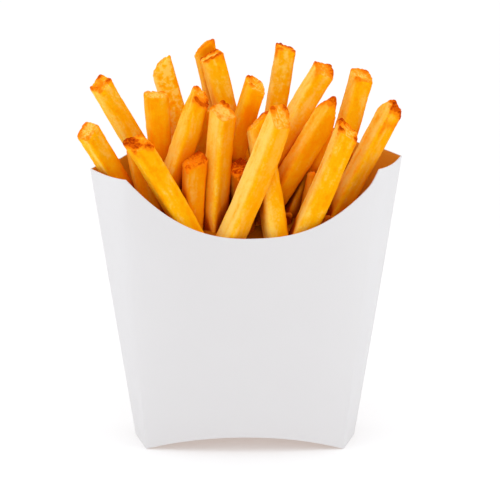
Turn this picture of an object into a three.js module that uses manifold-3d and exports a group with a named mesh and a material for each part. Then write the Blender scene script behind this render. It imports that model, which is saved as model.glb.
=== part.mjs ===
// A paper scoop carton of thick-cut french fries, standing upright.
//
// Millimetres, +Z up. The carton's front faces -Y, and X runs across it. The origin is in the
// middle of the object's bounding box, at the surface it stands on.
//
// Two solids: the carton, one folded blank of thin board, and the fries, a heap of single
// sticks fused on a plain core that fills the carton to below its brim.

import * as THREE from 'three';
import Module from 'manifold-3d';

// ---------------------------------------------------------------- driving dimensions

const BOARD = 0.5; // thickness of the board
const GAP = 0.4; // clear space between the food and the board
const SLIVER = 0.04; // joining the sticks leaves no edges finer than this

// Pairs hold the value at the base and at the mouth.
const CARTON = {
  height: 110.2, // from the base to the side corners of the mouth
  foldHalf: [43.6, 60.6], // half width at the sharp side folds
  creaseHalf: [38.5, 48.2], // half width at the creases beside the front and back panels
  creaseDepth: [18, 20], // distance of those creases from the middle plane
  bow: [4.5, 8], // bulge of the front and back panels past their creases
  foldAngle: [74, 66], // heading of a gusset at the side fold, in degrees from X
  gussetAngle: [74, 32], // heading of a gusset at the crease
  panelAngle: [13.5, 30], // heading of the panel at the crease
  creaseFade: 0.35, // share of the height in which the sharp crease becomes a round bend
  creaseAt: 0.62, // where the crease lies on the way from the panel's middle to the fold
  twist: 7, // turn of the mouth against the base, in degrees
  sway: 0.9, // shift of the mouth against the base, towards +X
  baseArch: 6.3, // rise of the curved bottom creases in the middle
};

const BRIM = {
  slant: 0.02, // rise of the whole brim for each millimetre towards +X
  kinkDrop: 1.2, // fall of the front gussets towards the ends of the scoop
  scoopEnds: [0.62, 0.575], // left and right ends, on the way from the middle to the fold
  scoopDepth: 23.2, // depth of the front panel's scoop below its ends
  scoopPower: 2.5, // how flat the bottom of the scoop is
  scoopShift: 0.05, // place of the scoop's lowest point, as a share of the crease's half width
  backRise: [0, 2], // rise of the left and right back gussets towards the back panel
  archRise: 10, // rise of the back panel's arched top above its ends
};

// The plain core ends below the lowest point of the brim, and every stick reaches into it.
const CORE = { frontTop: 82, backTop: 98, foot: 80 };

const GRID = { gusset: 5, panel: 22, rows: 8 }; // facets along a gusset, a panel and a wall

// The fries that stand out of the heap, each with the middle of its cut end (tip), its lean
// in degrees towards +X and away from the front, the turn of its square section in degrees,
// its thickness, and the rise of its cut end towards +X and +Y for each millimetre across.
const NAMED_FRIES = [
  // the front row, on the front panel's rim
  { tip: [-40, -23, 122], lean: -29, away: -4, turn: 22, wide: 8.6, cut: [-0.1, 0.5] },
  { tip: [13, -24.5, 132], lean: 21, away: -5, turn: 37, wide: 8.2, cut: [-0.2, 0.7] },
  { tip: [39, -19, 126], lean: 23, away: -3, turn: 20, wide: 8.8, cut: [-0.5, 0.4] },
  // the second row
  { tip: [-60, -8, 124], lean: -30, away: -5, turn: 30, wide: 7.8, cut: [0.1, 0.6] },
  { tip: [-41, -10, 118], lean: -14, away: 6, turn: 15, wide: 8.0, cut: [0, 0] },
  { tip: [-17, -9, 138], lean: 20, away: 1, turn: 38, wide: 8.0, cut: [-0.5, 0] },
  { tip: [-19, -13.5, 113.5], lean: 3, away: 0, turn: 15, wide: 8.4, cut: [0.3, 0.5] },
  { tip: [-8, -12, 132.5], lean: 4, away: 2, turn: 42, wide: 8.2, cut: [-0.1, 0.4] },
  { tip: [5, -10, 128], lean: -9, away: 10, turn: 20, wide: 8.6, cut: [0.8, 0.2] },
  { tip: [24, -11, 103], lean: 25, away: 5, turn: 20, wide: 8.0, cut: [0, 0.3] },
  { tip: [31, -7, 132], lean: 30, away: -3, turn: 25, wide: 8.4, cut: [1, 0.4] },
  { tip: [55, -1, 130.5], lean: 28, away: 8, turn: 35, wide: 8.4, cut: [0.6, 0.5] },
  // the third row
  { tip: [-34, -1, 137], lean: -4, away: 0, turn: 20, wide: 8.6, cut: [-0.3, 0.2] },
  { tip: [-56, 9, 139], lean: -31, away: 2, turn: 25, wide: 8.2, cut: [0.1, 0.7] },
  { tip: [-15.5, 3, 130], lean: 9, away: 8, turn: 10, wide: 8.4, cut: [0, 0] },
  { tip: [4, 1, 141], lean: 18, away: 10, turn: 22, wide: 8.4, cut: [-0.4, 0.4] },
  { tip: [31, 8, 145], lean: 31, away: 13, turn: 38, wide: 8.0, cut: [0.1, 0.2] },
  { tip: [45, 10, 143.5], lean: 18, away: 13, turn: 10, wide: 8.4, cut: [0.2, 0.3] },
  // the back row
  { tip: [-32.5, 18, 146.5], lean: -17, away: 16, turn: 8, wide: 8.6, cut: [0.8, 0.2] },
  { tip: [-13, 12, 150], lean: -14, away: 11, turn: 15, wide: 8.4, cut: [0.3, 0.2] },
  { tip: [-16, 22, 153], lean: -13, away: 11, turn: 12, wide: 8.4, cut: [0.8, 0.1] },
  { tip: [16, 20, 153], lean: 11, away: 12, turn: 4, wide: 8.2, cut: [-0.3, 0.2] },
];

// The fries between them, low in the heap: rows and columns of sticks with seeded scatter.
const FILLING = {
  seed: 5,
  rows: [22, 16, 9, 2, -5, -12], // places in Y
  columns: 14,
  pitch: 7.8, // distance between columns
  scatter: 1.6,
  tipHeight: 111, // of the middle row
  tipRise: 0.3, // rise for each millimetre towards the back
  tipFall: 0.0025, // fall with the square of the distance from the middle
  tipScatter: 5,
  fan: 0.4, // degrees of lean for each millimetre from the middle
  fanScatter: 5,
  thickness: [7.4, 8.8],
  cutScatter: 0.5,
  clear: 7, // the least distance between the middle lines of two sticks,
  clearAbove: 99, // counted above this height
  mouth: [52.5, 23.5], // half axes of the rounded area that the sticks stand in
  mouthPower: 3, // its roundness: 2 is an ellipse
};

const STICK = {
  chamfer: 0.16, // share of the thickness taken off each long edge
  tipInset: 0.86, // size of the cut end against the stick
  shoulder: 1.4, // length of that taper
};

const DEGREE = Math.PI / 180;

// ---------------------------------------------------------------- small helpers

const mix = (a, b, s) => a + (b - a) * s;
const pair = ([base, mouth], s) => mix(base, mouth, s);

function smoothStep(from, to, value) {
  const s = THREE.MathUtils.clamp((value - from) / (to - from), 0, 1);
  return s * s * (3 - 2 * s);
}

// A seeded row of numbers from 0 to 1, by the linear congruential rule.
function seededDraws(seed) {
  let state = seed;
  return () => {
    state = (state * 1664525 + 1013904223) % 4294967296;
    return state / 4294967296;
  };
}

function bezier(p0, p1, p2, p3, s) {
  const curve = new THREE.CubicBezierCurve(p0, p1, p2, p3);
  return curve.getPoint(s);
}

const heading = (degrees, length) =>
  new THREE.Vector2(Math.cos(degrees * DEGREE), Math.sin(degrees * DEGREE)).multiplyScalar(length);

// Turns triangles over shared vertices into a solid.
function toSolid(wasm, vertices, triangles) {
  return new wasm.Manifold(new wasm.Mesh({
    numProp: 3,
    vertProperties: Float32Array.from(vertices.flat()),
    triVerts: Uint32Array.from(triangles.flat()),
  }));
}

// ---------------------------------------------------------------- carton

// A point of the wall's plan on the front half. `u` runs from 1 at the right fold over 0 in
// the middle of the panel to -1 at the left fold, `height` is in millimetres, and `inset`
// moves the wall inwards. The gusset and the panel are one cubic curve each, and their
// headings meet at the crease.
function planPoint(u, height, inset) {
  const share = height / CARTON.height;
  const fold = new THREE.Vector2(pair(CARTON.foldHalf, share) - 1.08 * inset, 0);
  const depth = pair(CARTON.creaseDepth, share) - 0.9 * inset;
  const crease = new THREE.Vector2(pair(CARTON.creaseHalf, share) - 0.6 * inset, -depth);
  const softness = smoothStep(0, CARTON.creaseFade, share);
  const point = Math.abs(u) > CARTON.creaseAt
    ? gussetPoint(fold, crease, share, softness, (1 - Math.abs(u)) / (1 - CARTON.creaseAt))
    : panelPoint(crease, share, softness, (1 - Math.abs(u) / CARTON.creaseAt) / 2);
  return new THREE.Vector2(u < 0 ? -point.x : point.x, point.y);
}

function gussetPoint(fold, crease, share, softness, s) {
  const handle = fold.distanceTo(crease) / 3;
  const start = fold.clone().sub(heading(pair(CARTON.foldAngle, share), handle));
  const end = crease.clone().add(heading(pair(CARTON.gussetAngle, softness), handle));
  return bezier(fold, start, end, crease, s);
}

function panelPoint(crease, share, softness, s) {
  const angle = pair(CARTON.panelAngle, softness);
  const handle = pair(CARTON.bow, share) / (0.75 * Math.sin(angle * DEGREE));
  const start = crease.clone().sub(heading(angle, handle));
  const farCrease = new THREE.Vector2(-crease.x, crease.y);
  const end = farCrease.clone().add(heading(-angle, handle));
  return bezier(crease, start, end, farCrease, s);
}

// The plan point on the front or back half, with the twist of the carton at that height.
function wallPoint(u, back, height, inset) {
  const plan = planPoint(u, height, inset);
  if (back) plan.y = -plan.y;
  plan.rotateAround(new THREE.Vector2(), CARTON.twist * DEGREE * height / CARTON.height);
  return [plan.x + CARTON.sway * height / CARTON.height, plan.y, height];
}

// Height of the brim: the corners at the folds, the gussets' edges, the front panel's scoop
// and the back panel's arch.
function brimHeight(u, back) {
  const side = u < 0 ? 0 : 1;
  const across = (place) => planPoint(place, CARTON.height, 0).x;
  const corner = CARTON.height + BRIM.slant * across(u);
  const end = back ? CARTON.creaseAt : BRIM.scoopEnds[side];
  if (Math.abs(u) > end) {
    const change = back ? BRIM.backRise[side] : -BRIM.kinkDrop;
    return corner + change * (1 - Math.abs(u)) / (1 - end);
  }
  if (back) {
    const ends = mix(...BRIM.backRise, (1 + u / end) / 2);
    return corner + ends + BRIM.archRise * (1 - (across(u) / across(end)) ** 2);
  }
  const share = Math.abs(across(u) / across(end) - BRIM.scoopShift) / (1 + BRIM.scoopShift);
  return corner - BRIM.kinkDrop - BRIM.scoopDepth * (1 - share ** BRIM.scoopPower);
}

// Height of the curved bottom crease: straight under the gussets, arched under the panels.
function baseHeight(u) {
  const share = Math.abs(u) / CARTON.creaseAt;
  return share < 1 ? CARTON.baseArch * (1 - share ** 2) : 0;
}

// The columns of facets round the carton, from the right fold over the front to the left
// fold and back over the back panel.
function wallColumns() {
  const front = [];
  const step = (1 - CARTON.creaseAt) / GRID.gusset;
  for (let i = 0; i < GRID.gusset; i += 1) front.push(1 - i * step);
  for (let i = 0; i <= GRID.panel; i += 1) {
    front.push(CARTON.creaseAt * (1 - 2 * i / GRID.panel));
  }
  for (let i = 1; i < GRID.gusset; i += 1) front.push(-CARTON.creaseAt - i * step);
  const back = [-1, ...front.slice(1).reverse()];
  return [
    ...front.map((u) => ({ u, back: false })),
    ...back.map((u) => ({ u, back: true })),
  ];
}

// One skin of the carton: rows of points from its bottom crease to `topAt`, joined by
// facets, and the floor between the front and back bottom creases.
function addSkin(mesh, { inset, floorLift, topAt, outward }) {
  const columns = wallColumns();
  const count = columns.length;
  const first = mesh.vertices.length;
  for (let row = 0; row <= GRID.rows; row += 1) {
    for (const { u, back } of columns) {
      const height = mix(baseHeight(u) + floorLift, topAt(u, back), row / GRID.rows);
      mesh.vertices.push(wallPoint(u, back, height, inset));
    }
  }
  const at = (row, column) => first + row * count + (column % count);
  const facet = (a, b, c) => mesh.triangles.push(outward ? [a, b, c] : [a, c, b]);
  for (let row = 0; row < GRID.rows; row += 1) {
    for (let i = 0; i < count; i += 1) {
      facet(at(row, i), at(row + 1, i + 1), at(row, i + 1));
      facet(at(row, i), at(row + 1, i), at(row + 1, i + 1));
    }
  }
  addStrips((i) => at(0, i), count, facet);
  return (column) => at(GRID.rows, column);
}

// Closes the loop of points with strips that run from the front to the back.
function addStrips(at, count, facet) {
  for (let i = 0; i < count / 2; i += 1) {
    const [front, nextFront] = [at(i), at(i + 1)];
    const [back, nextBack] = [at((count - i) % count), at(count - i - 1)];
    if (front !== back) facet(front, nextFront, back);
    if (nextFront !== nextBack) facet(nextFront, nextBack, back);
  }
}

// The folded blank: an outer and an inner skin, joined along the brim. `grow` thickens the
// board on every side, for the space that the food keeps clear.
function cartonShell(wasm, grow) {
  const mesh = { vertices: [], triangles: [] };
  const topAt = (u, back) => brimHeight(u, back) + grow;
  const outer = addSkin(mesh, { inset: -grow, floorLift: -grow, topAt, outward: true });
  const inner = addSkin(mesh, {
    inset: BOARD + grow, floorLift: BOARD + grow, topAt, outward: false,
  });
  const count = wallColumns().length;
  for (let i = 0; i < count; i += 1) {
    mesh.triangles.push([outer(i), inner(i + 1), outer(i + 1)]);
    mesh.triangles.push([outer(i), inner(i), inner(i + 1)]);
  }
  return toSolid(wasm, mesh.vertices, mesh.triangles);
}

// ---------------------------------------------------------------- fries

// The body of the heap inside the carton, closed by a top that rises to the back.
function friesCore(wasm) {
  const mesh = { vertices: [], triangles: [] };
  const inset = BOARD + GAP;
  const topAt = (u, back) =>
    mix(CORE.frontTop, CORE.backTop, (1 + (back ? 1 : -1) * (1 - Math.abs(u))) / 2);
  const top = addSkin(mesh, { inset, floorLift: inset, topAt, outward: true });
  const flip = (a, b, c) => mesh.triangles.push([a, c, b]);
  addStrips(top, wallColumns().length, flip);
  return toSolid(wasm, mesh.vertices, mesh.triangles);
}

// The step along a stick's middle line for each millimetre of height.
const stickSlope = ({ lean, away }) =>
  new THREE.Vector3(Math.tan(lean * DEGREE), Math.tan(away * DEGREE), 1);

// One stick: a square section with chamfered long edges, carried along the axis, with a
// slanting cut and a short taper at the tip.
function stick(wasm, fry) {
  const axis = stickSlope(fry).normalize();
  const long = (fry.tip[2] - CORE.foot) / axis.z;
  const across = new THREE.Vector3(0, 1, 0).cross(axis).normalize();
  const through = axis.clone().cross(across);
  const half = fry.wide / 2;
  const edge = half * (1 - 2 * STICK.chamfer);
  const corners = [
    [half, -edge], [half, edge], [edge, half], [-edge, half],
    [-half, edge], [-half, -edge], [-edge, -half], [edge, -half],
  ];
  const turned = corners.map(([x, y]) =>
    new THREE.Vector2(x, y).rotateAround(new THREE.Vector2(), fry.turn * DEGREE));
  const rings = [
    { down: 0, size: STICK.tipInset }, { down: STICK.shoulder, size: 1 }, { down: long, size: 1 },
  ];
  const vertices = rings.flatMap(({ down, size }) => turned.map(({ x, y }) => {
    const rise = down < long ? size * (fry.cut[0] * x + fry.cut[1] * y) : 0;
    return new THREE.Vector3(...fry.tip)
      .addScaledVector(axis, rise - down)
      .addScaledVector(across, size * x)
      .addScaledVector(through, size * y)
      .toArray();
  }));
  const count = corners.length;
  const triangles = [];
  for (let ring = 0; ring + 1 < rings.length; ring += 1) {
    for (let i = 0; i < count; i += 1) {
      const [a, b] = [ring * count + i, ring * count + (i + 1) % count];
      triangles.push([a, a + count, b], [b, a + count, b + count]);
    }
  }
  const last = (rings.length - 1) * count;
  for (let i = 1; i + 1 < count; i += 1) {
    triangles.push([0, i, i + 1], [last, last + i + 1, last + i]);
  }
  return toSolid(wasm, vertices, triangles);
}

// The shortest distance between two sticks' middle lines, tried at evenly spread heights.
function stickDistance(one, other) {
  const samples = 8;
  const [points, others] = [one, other].map((fry) => {
    const slope = stickSlope(fry);
    const drop = Math.max(fry.tip[2] - FILLING.clearAbove, 0) / samples;
    return Array.from({ length: samples + 1 }, (_, i) =>
      new THREE.Vector3(...fry.tip).addScaledVector(slope, -drop * i));
  });
  return Math.min(...points.flatMap((p) => others.map((q) => p.distanceTo(q))));
}

// One that would stand too close to a stick already in place is left out.
function fillingFries() {
  const draw = seededDraws(FILLING.seed);
  const spread = (amount) => amount * (2 * draw() - 1);
  const placed = [];
  for (const row of FILLING.rows) {
    for (let column = 0; column < FILLING.columns; column += 1) {
      const x = (column - (FILLING.columns - 1) / 2) * FILLING.pitch + spread(FILLING.scatter);
      const y = row + spread(FILLING.scatter);
      const z = FILLING.tipHeight + FILLING.tipRise * y - FILLING.tipFall * x * x
        + spread(FILLING.tipScatter);
      const place = new THREE.Vector2(x, y)
        .rotateAround(new THREE.Vector2(), CARTON.twist * DEGREE);
      const fry = {
        tip: [place.x + CARTON.sway, place.y, z],
        lean: FILLING.fan * x + spread(FILLING.fanScatter),
        away: FILLING.fan * y + spread(FILLING.fanScatter),
        turn: 45 * draw(),
        wide: mix(...FILLING.thickness, draw()),
        cut: [spread(FILLING.cutScatter), spread(FILLING.cutScatter)],
      };
      const inside = Math.abs(x / FILLING.mouth[0]) ** FILLING.mouthPower
        + Math.abs(y / FILLING.mouth[1]) ** FILLING.mouthPower < 1;
      const free = [...NAMED_FRIES, ...placed]
        .every((other) => stickDistance(fry, other) > FILLING.clear);
      if (inside && free) placed.push(fry);
    }
  }
  return placed;
}

// Keeps the largest closed skin of a solid: sealed hollows are filled, loose scraps dropped.
function largestSkin(wasm, solid) {
  const { vertProperties, triVerts } = solid.getMesh();
  const owner = Array.from({ length: vertProperties.length / 3 }, (_, i) => i);
  const find = (i) => {
    let root = i;
    while (owner[root] !== root) root = owner[root];
    owner[i] = root;
    return root;
  };
  const triangles = [];
  for (let i = 0; i < triVerts.length; i += 3) {
    const [a, b, c] = triVerts.slice(i, i + 3);
    owner[find(b)] = find(a);
    owner[find(c)] = find(a);
    triangles.push([a, b, c]);
  }
  const skins = new Map();
  for (const triangle of triangles) {
    const root = find(triangle[0]);
    skins.set(root, [...(skins.get(root) ?? []), triangle]);
  }
  const largest = [...skins.values()].sort((a, b) => b.length - a.length)[0];
  const used = [...new Set(largest.flat())];
  const renamed = new Map(used.map((vertex, i) => [vertex, i]));
  const vertices = used.map((i) => Array.from(vertProperties.slice(3 * i, 3 * i + 3)));
  return toSolid(wasm, vertices, largest.map((t) => t.map((vertex) => renamed.get(vertex))));
}

function friesHeap(wasm) {
  let heap = friesCore(wasm);
  for (const fry of [...NAMED_FRIES, ...fillingFries()]) heap = heap.add(stick(wasm, fry));
  const clear = heap.subtract(cartonShell(wasm, GAP)).simplify(SLIVER);
  return largestSkin(wasm, clear).simplify(SLIVER);
}

// ---------------------------------------------------------------- object

function namedMesh(name, solid, material) {
  const { vertProperties, triVerts } = solid.getMesh();
  const geometry = new THREE.BufferGeometry();
  geometry.setAttribute('position', new THREE.BufferAttribute(vertProperties, 3));
  geometry.setIndex(new THREE.BufferAttribute(triVerts, 1));
  const mesh = new THREE.Mesh(geometry, material);
  mesh.name = name;
  return mesh;
}

const whiteBoard = new THREE.MeshStandardMaterial({ color: 0xf2f2f3, roughness: 0.8, metalness: 0 });
const friedPotato = new THREE.MeshStandardMaterial({ color: 0xf0a02c, roughness: 0.6, metalness: 0 });

const wasm = await Module();
wasm.setup();

const object = new THREE.Group();
object.add(namedMesh('carton', cartonShell(wasm, 0), whiteBoard));
object.add(namedMesh('fries', friesHeap(wasm), friedPotato));

// The origin goes to the middle of the bounding box. The base already stands at zero.
const middle = new THREE.Box3().setFromObject(object).getCenter(new THREE.Vector3());
object.position.set(-middle.x, -middle.y, 0);

export default object;
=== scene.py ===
"""A white scoop carton of thick-cut french fries: all that shows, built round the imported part.

The frame is the part's own, +Z up, with the carton's front towards -Y. The tables below hold
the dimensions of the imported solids, in millimetres, and each mesh is turned into metres as it
is made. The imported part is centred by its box, so one shift takes the tables' frame to it.
"""

import itertools
import math
from dataclasses import dataclass

import bpy
import numpy as np
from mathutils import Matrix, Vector


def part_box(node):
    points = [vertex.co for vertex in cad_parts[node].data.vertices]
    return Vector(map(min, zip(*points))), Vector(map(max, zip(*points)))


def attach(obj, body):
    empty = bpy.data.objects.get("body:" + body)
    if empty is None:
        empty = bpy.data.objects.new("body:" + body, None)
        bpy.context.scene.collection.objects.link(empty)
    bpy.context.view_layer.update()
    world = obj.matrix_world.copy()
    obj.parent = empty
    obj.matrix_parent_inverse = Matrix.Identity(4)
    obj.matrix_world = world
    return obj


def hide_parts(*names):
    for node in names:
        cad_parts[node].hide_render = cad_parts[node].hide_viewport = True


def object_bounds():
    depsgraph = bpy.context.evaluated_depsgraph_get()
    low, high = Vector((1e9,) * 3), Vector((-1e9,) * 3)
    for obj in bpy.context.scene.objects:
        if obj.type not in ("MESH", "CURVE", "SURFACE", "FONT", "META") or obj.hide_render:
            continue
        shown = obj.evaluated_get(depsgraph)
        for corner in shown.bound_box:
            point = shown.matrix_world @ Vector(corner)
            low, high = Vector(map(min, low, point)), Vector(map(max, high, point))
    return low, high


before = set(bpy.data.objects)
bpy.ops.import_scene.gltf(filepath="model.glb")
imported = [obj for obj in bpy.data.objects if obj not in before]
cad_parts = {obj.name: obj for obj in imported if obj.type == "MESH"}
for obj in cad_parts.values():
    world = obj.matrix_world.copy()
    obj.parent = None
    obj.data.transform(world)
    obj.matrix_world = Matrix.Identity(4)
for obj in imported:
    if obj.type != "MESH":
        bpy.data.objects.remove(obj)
cad_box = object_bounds()

MM = 0.001

# ---- dimensions of the carton

# Pairs hold the value at the base and at the mouth, if nothing else is said.
BOARD = 0.5  # thickness of the board
GAP = 0.4  # clear space between the food and the board
HEIGHT = 110.2  # from the base to the side corners of the mouth
FOLD_HALF = (43.6, 60.6)  # half width at the sharp side folds
CREASE_HALF = (38.5, 48.2)  # half width at the creases beside the front and back panels
CREASE_DEPTH = (18.0, 20.0)  # distance of those creases from the middle plane
BOW = (4.5, 8.0)  # bulge of the front and back panels past their creases
FOLD_ANGLE = (74.0, 66.0)  # heading of a gusset at the side fold, in degrees from X
GUSSET_ANGLE = (74.0, 32.0)  # heading of a gusset at the crease
PANEL_ANGLE = (13.5, 30.0)  # heading of the panel at the crease
CREASE_FADE = 0.35  # share of the height in which the sharp crease becomes a round bend
CREASE_AT = 0.62  # where the crease lies on the way from the panel's middle to the fold
TWIST = 7.0  # turn of the mouth against the base, in degrees
SWAY = 0.9  # shift of the mouth against the base, towards +X
BASE_ARCH = 6.3  # rise of the curved bottom creases in the middle
INSET_FOLD = 1.08  # how far the fold moves in for each millimetre that the wall does
INSET_CREASE = (0.6, 0.9)  # how far the crease moves in, across and through

SLANT = 0.02  # rise of the whole brim for each millimetre towards +X
KINK_DROP = 1.2  # fall of the front gussets towards the ends of the scoop
SCOOP_ENDS = (0.62, 0.615)  # left and right ends, on the way from the middle to the fold
SCOOP_DEPTH = 23.2  # depth of the front panel's scoop below its ends
SCOOP_POWER = 2.5  # how flat the bottom of the scoop is
SCOOP_SHIFT = 0.05  # place of its lowest point, as a share of the crease's half width
SCOOP_STRETCH = 1.047  # how much faster the scoop climbs on the right
SCOOP_HOOK = 0.93  # share of the way to the right end from which the brim climbs steeply
BACK_RISE = (0.0, 2.0)  # rise of the left and right back gussets towards the back panel
ARCH_RISE = 10.0  # rise of the back panel's arched top above its ends

GUSSET_COLUMNS = 18
PANEL_COLUMNS = 72
WALL_ROWS = 72

# ---- dimensions of the fries

CORE_FRONT_TOP = 82.0
CORE_BACK_TOP = 98.0
FOOT = 80.0  # every stick reaches down to here, inside the core


@dataclass
class Fry:
    """One stick, in millimetres and degrees. Its end is cut across, and its foot is hidden."""

    tip: tuple  # middle of the cut end
    lean: float  # lean towards +X
    away: float  # lean away from the front
    turn: float  # turn of its square section
    wide: float  # thickness
    cut: tuple  # rise of the cut end for each millimetre across and through
    tone: float = 0.0  # from -1, deep orange, to 1, pale
    brown: float = 0.5  # how far the rim of the cut end has browned
    flesh: float = 0.5  # how light the middle of the cut end is
    knob: float = 0.2  # height of the blister on the highest corner
    rim: float = 0.6  # how far the browning of the rim reaches down the sides
    run: float = 0.0  # how much further the browning runs down below the highest corner
    cover: float = 0.0  # how far the whole cut end has browned
    dome: float = -0.35  # height of the cut end's middle over its rim
    mottle: float = 0.15  # strength of the pale and golden spots of its sides
    painted_shade: float = 0.0  # painted shade: how much darker the colour is made because the stick lies low in the heap
    taper: float = 0.0  # share by which the end is thinner
    twist: float = 0.0  # turn of the section from the end to the body


FRONT_ROW = [
    Fry(
        (-40.2, -23, 121.7), -29, -4, 22, 8.6, (-0.34, 0.5), -0.9,
        brown=0.7, flesh=0.0, knob=0.5, cover=0.95,
    ),
    Fry((13.5, -24.5, 132), 22, -5, 38, 8.9, (-0.3, 0.75), 0.7, brown=0.8, flesh=0.4, taper=0.1),
    Fry(
        (38.7, -19, 126), 23, -3, 10, 8.8, (-0.35, 0.3), 0.3,
        brown=1.4, flesh=0.35, knob=0.6, cover=0.25,
    ),
]
SECOND_ROW = [
    Fry((-60, -8, 124), -30, -5, 33, 7.8, (0.1, 0.55), -0.2, brown=0.8, flesh=0.6),
    Fry((-41, -10, 118), -14, 6, 15, 8.0, (0, 0), brown=0.1, painted_shade=0.5),
    Fry(
        (-16.5, -9, 137), 20, 1, 14, 8.2, (-0.6, 0.6), -0.2,
        brown=0.9, flesh=0.2, cover=0.45, taper=0.12, twist=22,
    ),
    Fry((-19, -13.5, 113.5), 3, 0, 17, 8.4, (0.35, 0.5), -0.4, flesh=0.0, cover=0.35, painted_shade=0.4),
    Fry((-8, -12, 132.0), 4, 2, 43, 8.4, (-0.25, 0.6), 0.2, brown=0.9, flesh=0.8, knob=0.8),
    Fry((5, -10, 128), -9, 10, 20, 8.6, (0.7, 0.2), 0.3, brown=1.1, flesh=0.3),
    Fry((30.3, -7, 128.2), 32, -3, 26, 8.4, (-1.06, -2.0), -0.6, brown=1.6, knob=0.0, rim=2.0),
    Fry((55.5, -1, 130.1), 29, 8, 29, 7.9, (-0.13, -1.2), 0.2, brown=1.7, knob=0.0, run=8),
    Fry((34, 1.5, 122.5), 27, 6, 20, 8.0, (0, 0.2), brown=0.1, painted_shade=0.5),
    Fry(
        (-2.3, -11.5, 111), -4, 0, 40, 7.4, (0.1, 0.5),
        brown=1.5, flesh=0.0, cover=1.1, painted_shade=0.8,
    ),
]
THIRD_ROW = [
    Fry((-34, -1, 136.8), -4, 0, 17, 8.6, (-0.2, 0.12), -0.8, brown=0.4, flesh=0.45),
    Fry(
        (-56, 9, 139.6), -31, 2, 34, 7.9, (0.0, 0.65), 0.9,
        brown=0.7, flesh=0.2, knob=0.1, cover=0.35,
    ),
    Fry((-15.5, 3, 130), 9, 8, 10, 8.4, (0, 0), brown=0.1, painted_shade=0.4),
    Fry((4.3, 1, 140.6), 18, 10, 17, 8.2, (-0.3, 0.6), -0.8, brown=1.3, flesh=0.25),
    Fry((30.8, 8, 145.3), 31, 13, 21, 8.4, (0, 0.66), 0.5, brown=0.6, flesh=0.3, cover=0.2),
    Fry((45.5, 10, 142.8), 18, 13, 21, 8.2, (-0.05, 0.68), -0.1, brown=0.8, flesh=0.4),
]
BACK_ROW = [
    Fry(
        (-32.8, 18, 145.9), -17, 16, 8, 8.8, (0.62, 0.1), 1.0,
        brown=0.5, flesh=0.3, knob=0.0, dome=1.4, mottle=1.3,
    ),
    Fry((-13, 12, 150), -14, 11, 15, 8.6, (0.2, 0.36), -0.2, brown=1.5, flesh=0.4, knob=0.6),
    Fry(
        (-16, 22, 152.5), -13, 11, 12, 8.4, (0.55, 0.1), -0.4,
        brown=0.8, flesh=0.0, knob=0.0, dome=1.0,
    ),
    Fry(
        (16, 20, 152.2), 11, 12, 4, 8.2, (-0.14, 0.36), 0.2,
        brown=1.4, flesh=-0.1, rim=1.5, cover=0.45, mottle=0.45,
    ),
]
NAMED_FRIES = FRONT_ROW + SECOND_ROW + THIRD_ROW + BACK_ROW

# The low fries between them: rows and columns of sticks with seeded scatter.
FILLING_SEED = 5
FILLING_COLUMNS = 14
FILLING_PITCH = 7.8
FILLING_SCATTER = 1.6
FILLING_TIP_RISE = 0.3  # rise for each millimetre towards the back
FILLING_FAN = 0.4  # degrees of lean for each millimetre from the middle
FILLING_FAN_SCATTER = 5.0
FILLING_THICKNESS = (7.4, 8.8)
FILLING_CUT_SCATTER = 0.5
FILLING_TURN = 45.0  # most turn of a section
FILLING_BROWN = 0.2
MOUTH_POWER = 3  # power of the rounded area that they stand in
NEAR_PLACES = 9  # places along a stick at which its distance to another is tried


@dataclass
class Layer:
    """One layer of the filling. The sticks stand in a rounded area."""

    rows: tuple  # places in Y
    height: float  # of the tips in the middle
    fall: float  # fall of the tips with the square of the distance from the middle
    scatter: float  # of those heights
    clear: float  # least distance between the middle lines of two sticks
    above: float  # height above which that distance counts
    mouth: tuple  # half axes of the area
    painted_shade: float  # painted shade: how much darker its sticks' colour is made


LAYERS = [
    Layer((22, 16, 9, 2, -5, -12), 111, 0.0025, 5, 7.0, 99, (42, 23.5), 0.6),
    Layer((20, 13, 6, -1, -8, -14), 94, 0.0, 3, 5.8, 92, (48, 22), 0.8),
]

LOOKS_SEED = 11  # of the random fields of the sticks' surface

# Meshes of the sticks
STICK_COLUMNS = 88
END_ROWS = 15
RIM_ROWS = 7
SIDE_ROWS = 70
SIDE_CROWDING = 1.5  # power by which the side's rows crowd near the end
SQUARENESS = 4.2  # power of the rounded square section
FLATNESS = (0.94, 1.04)  # thickness through a stick against its thickness across
HOLLOW = 0.06  # most that the flat sides are sunken, as a share of the thickness
TURN_ON = 5.0  # degrees that a section turns on its way to the foot
TWIST_OVER = 14.0  # length in which a twisted end turns
TAPER_OVER = 6.0  # length in which a thin end widens
BEND = 0.7  # most bow of a stick's middle line
RIM_ROUND = 1.35  # rounding between the cut end and the sides
RIM_WIDE = 0.9  # width of the uneven rim of the cut end
CAP_UP = 0.5  # share of the heading along the stick above which a point is on the cut end
FLARE, FLARE_DEEP = 0.15, 1.4  # how far the crust swells out just below the end

# Relief: heights, and the sizes of the cells of its random fields across and along the stick
WOBBLE, WOBBLE_CELL = 0.25, (4.5, 4.5, 12)
RIDGE, RIDGE_CELL = 0.1, (2.6, 2.6, 16)
BLISTER, BLISTER_CELL = 0.2, (2.0, 2.0, 2.6)
BLISTER_LEVEL = 0.3  # of the field, above which the blisters stand out
BLISTER_SHARES = (0.4, 1.2)  # of their height, on the flat sides and at the long edges
PUFF, PUFF_CELL = 0.38, (1.7, 1.7, 1.7)
PUFF_GAIN, PUFF_SOFT = 2.2, 0.03  # how strong the puffs are, and how round the creases between
PUFF_LEVEL = 0.5  # above which they stand out
WRINKLE, WRINKLE_CELL = 0.14, (1.0, 1.5, 1.2)
WRINKLE_GAIN = 3.0
LUMP, LUMP_CELL = 0.36, (3.4, 3.4, 3.4)
KNOB_WIDE = 1.9  # radius of the blister on the highest corner
KNOB_DEEP = 1.6
PEAK_DEPTH = RIM_ROUND + 0.1  # depth down to which the highest corner is looked for
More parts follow.
